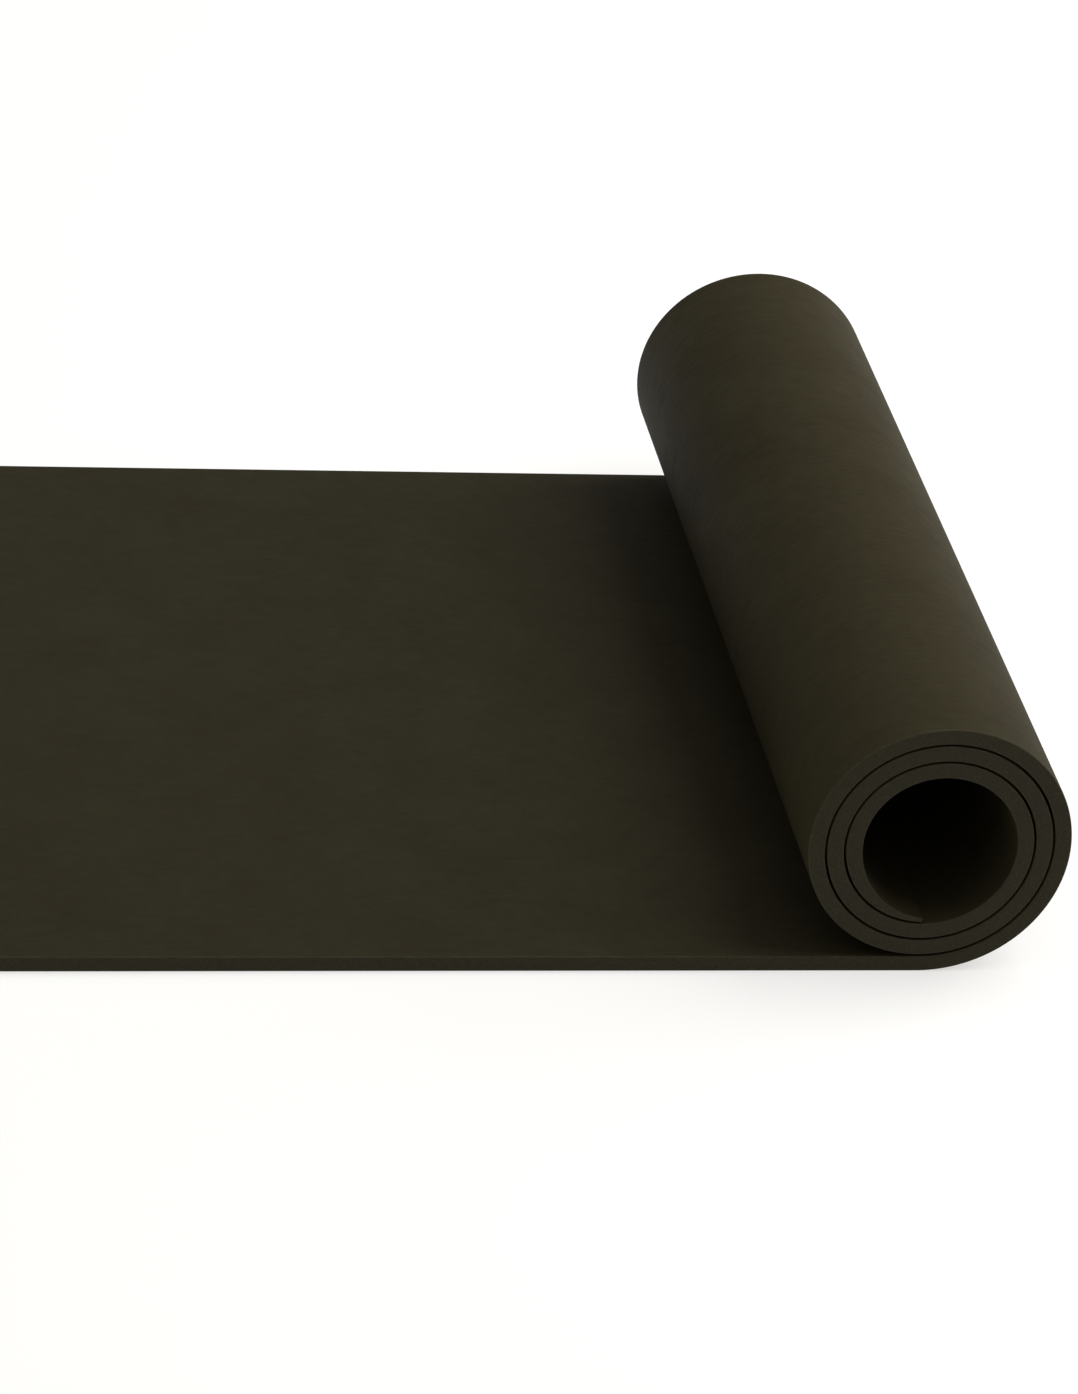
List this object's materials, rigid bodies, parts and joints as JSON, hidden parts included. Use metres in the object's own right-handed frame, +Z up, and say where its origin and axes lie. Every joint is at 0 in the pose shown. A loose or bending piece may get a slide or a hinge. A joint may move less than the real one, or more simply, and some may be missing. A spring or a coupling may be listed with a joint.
{
  "type": "practice putting mat",
  "caption": "Plain dark olive foam putting mat, flat at one end and rolled up at the other, that unrolls to full length.",
  "frame": {"origin": "centre of the footprint, on the floor", "axes": "+X along the mat from its free end to the roll, +Y across its width, +Z up"},
  "size_m": [0.78, 0.61, 0.1566],
  "materials": {
    "playing_surface": "matte, very fine grain, dark olive",
    "foam_base": "matte closed-cell foam, dark olive brown"
  },
  "bodies": {
    "flat_run": {"flat_run_base": "foam_base", "flat_run_surface": "playing_surface"},
    "free_end": {"free_end_base": "foam_base", "free_end_surface": "playing_surface"},
    "outer_turn_1": {"outer_turn_1_base": "foam_base", "outer_turn_1_surface": "playing_surface"},
    "outer_turn_2": {"outer_turn_2_base": "foam_base", "outer_turn_2_surface": "playing_surface"},
    "outer_turn_3": {"outer_turn_3_base": "foam_base", "outer_turn_3_surface": "playing_surface"},
    "outer_turn_4": {"outer_turn_4_base": "foam_base", "outer_turn_4_surface": "playing_surface"},
    "outer_turn_5": {"outer_turn_5_base": "foam_base", "outer_turn_5_surface": "playing_surface"},
    "outer_turn_6": {"outer_turn_6_base": "foam_base", "outer_turn_6_surface": "playing_surface"},
    "outer_turn_7": {"outer_turn_7_base": "foam_base", "outer_turn_7_surface": "playing_surface"},
    "outer_turn_8": {"outer_turn_8_base": "foam_base", "outer_turn_8_surface": "playing_surface"},
    "middle_turn_1": {"middle_turn_1_base": "foam_base", "middle_turn_1_surface": "playing_surface"},
    "middle_turn_2": {"middle_turn_2_base": "foam_base", "middle_turn_2_surface": "playing_surface"},
    "middle_turn_3": {"middle_turn_3_base": "foam_base", "middle_turn_3_surface": "playing_surface"},
    "middle_turn_4": {"middle_turn_4_base": "foam_base", "middle_turn_4_surface": "playing_surface"},
    "middle_turn_5": {"middle_turn_5_base": "foam_base", "middle_turn_5_surface": "playing_surface"},
    "middle_turn_6": {"middle_turn_6_base": "foam_base", "middle_turn_6_surface": "playing_surface"},
    "middle_turn_7": {"middle_turn_7_base": "foam_base", "middle_turn_7_surface": "playing_surface"},
    "middle_turn_8": {"middle_turn_8_base": "foam_base", "middle_turn_8_surface": "playing_surface"},
    "inner_turn_1": {"inner_turn_1_base": "foam_base", "inner_turn_1_surface": "playing_surface"},
    "inner_turn_2": {"inner_turn_2_base": "foam_base", "inner_turn_2_surface": "playing_surface"},
    "inner_turn_3": {"inner_turn_3_base": "foam_base", "inner_turn_3_surface": "playing_surface"},
    "inner_turn_4": {"inner_turn_4_base": "foam_base", "inner_turn_4_surface": "playing_surface"},
    "inner_turn_5": {"inner_turn_5_base": "foam_base", "inner_turn_5_surface": "playing_surface"},
    "inner_turn_6": {"inner_turn_6_base": "foam_base", "inner_turn_6_surface": "playing_surface"},
    "inner_turn_7": {"inner_turn_7_base": "foam_base", "inner_turn_7_surface": "playing_surface"},
    "inner_turn_8": {"inner_turn_8_base": "foam_base", "inner_turn_8_surface": "playing_surface"}
  },
  "joints": [
    {"name": "free_end_lift", "type": "hinge", "parent": "flat_run", "child": "free_end", "pos_m": [-0.09003, 0, 0.0095], "axis": [0, 1, 0], "range_deg": [0, 90]},
    {"name": "unroll", "type": "hinge", "parent": "flat_run", "child": "outer_turn_1", "pos_m": [0.34097, 0, 0.00617], "axis": [0, 1, 0], "range_deg": [0, 45]},
    {"name": "outer_turn_2_bend", "type": "hinge", "parent": "outer_turn_1", "child": "outer_turn_2", "pos_m": [0.38407, 0, 0.04927], "axis": [0, 1, 0], "range_deg": [0, 45]},
    {"name": "outer_turn_3_bend", "type": "hinge", "parent": "outer_turn_2", "child": "outer_turn_3", "pos_m": [0.38407, 0, 0.1092], "axis": [0, 1, 0], "range_deg": [0, 45]},
    {"name": "outer_turn_4_bend", "type": "hinge", "parent": "outer_turn_3", "child": "outer_turn_4", "pos_m": [0.34243, 0, 0.15085], "axis": [0, 1, 0], "range_deg": [0, 45]},
    {"name": "outer_turn_5_bend", "type": "hinge", "parent": "outer_turn_4", "child": "outer_turn_5", "pos_m": [0.28457, 0, 0.15085], "axis": [0, 1, 0], "range_deg": [0, 45]},
    {"name": "outer_turn_6_bend", "type": "hinge", "parent": "outer_turn_5", "child": "outer_turn_6", "pos_m": [0.24438, 0, 0.11066], "axis": [0, 1, 0], "range_deg": [0, 45]},
    {"name": "outer_turn_7_bend", "type": "hinge", "parent": "outer_turn_6", "child": "outer_turn_7", "pos_m": [0.24438, 0, 0.05487], "axis": [0, 1, 0], "range_deg": [0, 45]},
    {"name": "outer_turn_8_bend", "type": "hinge", "parent": "outer_turn_7", "child": "outer_turn_8", "pos_m": [0.2831, 0, 0.01614], "axis": [0, 1, 0], "range_deg": [0, 45]},
    {"name": "middle_turn_1_bend", "type": "hinge", "parent": "outer_turn_8", "child": "middle_turn_1", "pos_m": [0.33683, 0, 0.01614], "axis": [0, 1, 0], "range_deg": [0, 45]},
    {"name": "middle_turn_2_bend", "type": "hinge", "parent": "middle_turn_1", "child": "middle_turn_2", "pos_m": [0.37409, 0, 0.05341], "axis": [0, 1, 0], "range_deg": [0, 45]},
    {"name": "middle_turn_3_bend", "type": "hinge", "parent": "middle_turn_2", "child": "middle_turn_3", "pos_m": [0.37409, 0, 0.10507], "axis": [0, 1, 0], "range_deg": [0, 45]},
    {"name": "middle_turn_4_bend", "type": "hinge", "parent": "middle_turn_3", "child": "middle_turn_4", "pos_m": [0.33829, 0, 0.14087], "axis": [0, 1, 0], "range_deg": [0, 45]},
    {"name": "middle_turn_5_bend", "type": "hinge", "parent": "middle_turn_4", "child": "middle_turn_5", "pos_m": [0.2887, 0, 0.14087], "axis": [0, 1, 0], "range_deg": [0, 45]},
    {"name": "middle_turn_6_bend", "type": "hinge", "parent": "middle_turn_5", "child": "middle_turn_6", "pos_m": [0.25436, 0, 0.10653], "axis": [0, 1, 0], "range_deg": [0, 45]},
    {"name": "middle_turn_7_bend", "type": "hinge", "parent": "middle_turn_6", "child": "middle_turn_7", "pos_m": [0.25436, 0, 0.059], "axis": [0, 1, 0], "range_deg": [0, 45]},
    {"name": "middle_turn_8_bend", "type": "hinge", "parent": "middle_turn_7", "child": "middle_turn_8", "pos_m": [0.28724, 0, 0.02612], "axis": [0, 1, 0], "range_deg": [0, 45]},
    {"name": "inner_turn_1_bend", "type": "hinge", "parent": "middle_turn_8", "child": "inner_turn_1", "pos_m": [0.3327, 0, 0.02612], "axis": [0, 1, 0], "range_deg": [0, 45]},
    {"name": "inner_turn_2_bend", "type": "hinge", "parent": "inner_turn_1", "child": "inner_turn_2", "pos_m": [0.36412, 0, 0.05754], "axis": [0, 1, 0], "range_deg": [0, 45]},
    {"name": "inner_turn_3_bend", "type": "hinge", "parent": "inner_turn_2", "child": "inner_turn_3", "pos_m": [0.36412, 0, 0.10093], "axis": [0, 1, 0], "range_deg": [0, 45]},
    {"name": "inner_turn_4_bend", "type": "hinge", "parent": "inner_turn_3", "child": "inner_turn_4", "pos_m": [0.33416, 0, 0.13089], "axis": [0, 1, 0], "range_deg": [0, 45]},
    {"name": "inner_turn_5_bend", "type": "hinge", "parent": "inner_turn_4", "child": "inner_turn_5", "pos_m": [0.29283, 0, 0.13089], "axis": [0, 1, 0], "range_deg": [0, 45]},
    {"name": "inner_turn_6_bend", "type": "hinge", "parent": "inner_turn_5", "child": "inner_turn_6", "pos_m": [0.26434, 0, 0.1024], "axis": [0, 1, 0], "range_deg": [0, 45]},
    {"name": "inner_turn_7_bend", "type": "hinge", "parent": "inner_turn_6", "child": "inner_turn_7", "pos_m": [0.26434, 0, 0.06313], "axis": [0, 1, 0], "range_deg": [0, 45]},
    {"name": "inner_turn_8_bend", "type": "hinge", "parent": "inner_turn_7", "child": "inner_turn_8", "pos_m": [0.29137, 0, 0.0361], "axis": [0, 1, 0], "range_deg": [0, 45]}
  ],
  "couplings": [
    {"joint": "outer_turn_2_bend", "follows": "unroll", "ratio": 1},
    {"joint": "outer_turn_3_bend", "follows": "unroll", "ratio": 1},
    {"joint": "outer_turn_4_bend", "follows": "unroll", "ratio": 1},
    {"joint": "outer_turn_5_bend", "follows": "unroll", "ratio": 1},
    {"joint": "outer_turn_6_bend", "follows": "unroll", "ratio": 1},
    {"joint": "outer_turn_7_bend", "follows": "unroll", "ratio": 1},
    {"joint": "outer_turn_8_bend", "follows": "unroll", "ratio": 1},
    {"joint": "middle_turn_1_bend", "follows": "unroll", "ratio": 1},
    {"joint": "middle_turn_2_bend", "follows": "unroll", "ratio": 1},
    {"joint": "middle_turn_3_bend", "follows": "unroll", "ratio": 1},
    {"joint": "middle_turn_4_bend", "follows": "unroll", "ratio": 1},
    {"joint": "middle_turn_5_bend", "follows": "unroll", "ratio": 1},
    {"joint": "middle_turn_6_bend", "follows": "unroll", "ratio": 1},
    {"joint": "middle_turn_7_bend", "follows": "unroll", "ratio": 1},
    {"joint": "middle_turn_8_bend", "follows": "unroll", "ratio": 1},
    {"joint": "inner_turn_1_bend", "follows": "unroll", "ratio": 1},
    {"joint": "inner_turn_2_bend", "follows": "unroll", "ratio": 1},
    {"joint": "inner_turn_3_bend", "follows": "unroll", "ratio": 1},
    {"joint": "inner_turn_4_bend", "follows": "unroll", "ratio": 1},
    {"joint": "inner_turn_5_bend", "follows": "unroll", "ratio": 1},
    {"joint": "inner_turn_6_bend", "follows": "unroll", "ratio": 1},
    {"joint": "inner_turn_7_bend", "follows": "unroll", "ratio": 1},
    {"joint": "inner_turn_8_bend", "follows": "unroll", "ratio": 1}
  ]
}
